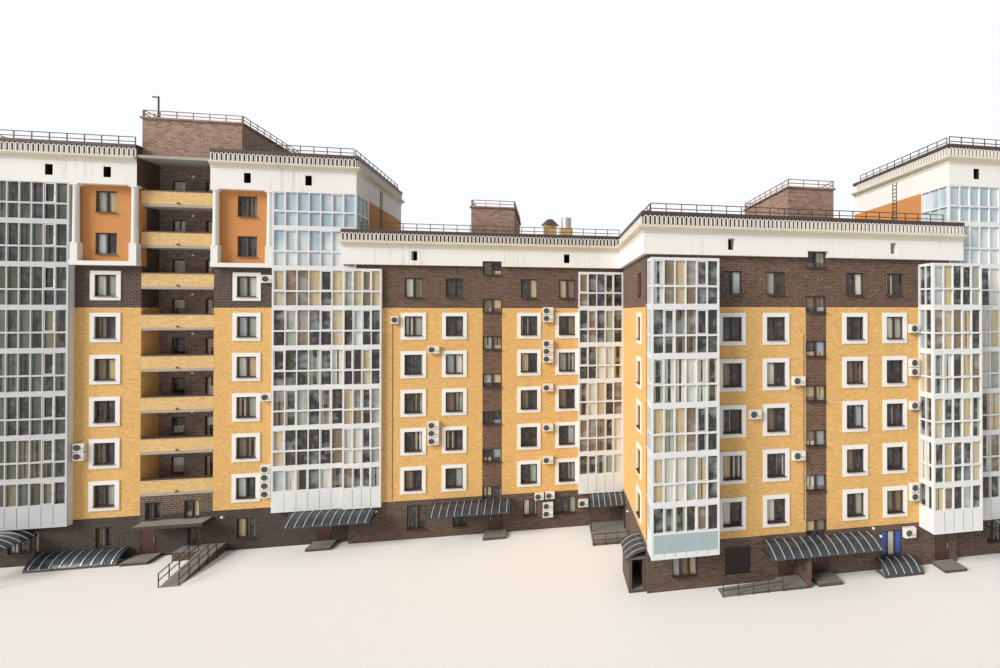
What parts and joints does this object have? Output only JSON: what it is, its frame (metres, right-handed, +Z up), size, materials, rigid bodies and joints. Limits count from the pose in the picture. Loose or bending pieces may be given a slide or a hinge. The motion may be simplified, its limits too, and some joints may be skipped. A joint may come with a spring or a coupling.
{
  "type": "apartment block, 1:2 scale model",
  "caption": "Stepped brick apartment block with glazed bays, open loggias, columned top storeys, a ring frieze round its roofs and steel entrance doors on hinges.",
  "frame": {"origin": "on the ground, under the middle section, half way through its depth", "axes": "+X along the street front, to the right as seen from the street; +Y to the back; +Z up"},
  "size_m": [36.685, 12.8753, 16.74],
  "materials": {
    "yellow_brick": "matt yellow facing brick",
    "brown_brick": "matt dark brown facing brick",
    "base_brick": "matt grey-brown facing brick",
    "white_plaster": "matt white painted plaster",
    "concrete": "cast concrete",
    "white_frames": "white plastic glazing frames",
    "glass": "clear window glass",
    "brown_metal": "dark brown painted steel",
    "light_metal": "light grey painted steel",
    "smoked_sheet": "smoked translucent sheet",
    "door_steel": "brown painted steel",
    "cream_case": "cream painted steel"
  },
  "bodies": {
    "building": {"tall_front_piers": "yellow_brick", "tall_base_wall": "base_brick", "tall_loggia_wall": "brown_brick", "tall_loggia_cheeks": "yellow_brick", "tall_balconies": "yellow_brick", "tall_landings": "concrete", "lintels_and_returns": "base_brick", "tall_back_wall": "yellow_brick", "tall_end_walls": "yellow_brick", "tall_floors": "concrete", "tall_bay_floors": "concrete", "tall_attic": "white_plaster", "tall_roof": "concrete", "tall_columns": "white_plaster", "middle_front_wall": "yellow_brick", "middle_base_wall": "base_brick", "middle_back_wall": "yellow_brick", "middle_end_wall": "yellow_brick", "middle_floors": "concrete", "middle_attic": "white_plaster", "corner_front_wall": "yellow_brick", "corner_base_wall": "base_brick", "corner_side_wall": "yellow_brick", "corner_back_wall": "yellow_brick", "corner_floors": "concrete", "corner_attic": "white_plaster", "low_bay_floors": "concrete", "end_base_wall": "base_brick", "end_side_wall": "yellow_brick", "end_party_wall": "yellow_brick", "end_back_wall": "yellow_brick", "end_floors": "concrete", "end_attic": "white_plaster", "tall_bay_fronts": "white_frames", "low_bay_fronts": "white_frames", "bay_sides": "white_frames", "bay_plates": "white_frames", "cornices": "white_plaster", "bay_glass": "glass", "window_glass": "glass", "window_surrounds": "white_plaster", "ring_frieze": "white_plaster", "side_frieze": "white_plaster", "roof_caps": "brown_metal", "roof_rails": "brown_metal", "head_houses": "brown_brick", "roof_vents": "brown_brick", "roof_steelwork": "brown_metal", "canopy_sheets": "smoked_sheet", "canopy_frames": "light_metal", "porches": "base_brick", "air_conditioners": "cream_case", "door_frames": "brown_metal"},
    "tall_entrance_leaf": {"tall_entrance_door": "door_steel"},
    "tall_shop_leaf": {"tall_shop_door": "door_steel"},
    "middle_entrance_leaf": {"middle_entrance_door": "door_steel"},
    "corner_shop_leaf": {"corner_shop_door": "door_steel"},
    "corner_entrance_leaf": {"corner_entrance_door": "door_steel"},
    "corner_service_leaf": {"corner_service_door": "door_steel"}
  },
  "joints": [
    {"name": "tall_entrance_hinge", "type": "hinge", "parent": "building", "child": "tall_entrance_leaf", "pos_m": [-13.185, -2.882, 0.1], "axis": [0, 0, -1], "range_deg": [0, 95]},
    {"name": "tall_shop_hinge", "type": "hinge", "parent": "building", "child": "tall_shop_leaf", "pos_m": [-7.37, -2.882, 0.1], "axis": [0, 0, -1], "range_deg": [0, 95]},
    {"name": "middle_entrance_hinge", "type": "hinge", "parent": "building", "child": "middle_entrance_leaf", "pos_m": [-0.6, -3.132, 0.1], "axis": [0, 0, 1], "range_deg": [0, 95]},
    {"name": "corner_shop_hinge", "type": "hinge", "parent": "building", "child": "corner_shop_leaf", "pos_m": [8.735, -8.862, 0.1], "axis": [0, 0, -1], "range_deg": [0, 95]},
    {"name": "corner_entrance_hinge", "type": "hinge", "parent": "building", "child": "corner_entrance_leaf", "pos_m": [10.425, -8.862, 0.1], "axis": [0, 0, 1], "range_deg": [0, 95]},
    {"name": "corner_service_hinge", "type": "hinge", "parent": "building", "child": "corner_service_leaf", "pos_m": [14.615, -8.862, 0.1], "axis": [0, 0, -1], "range_deg": [0, 95]}
  ]
}
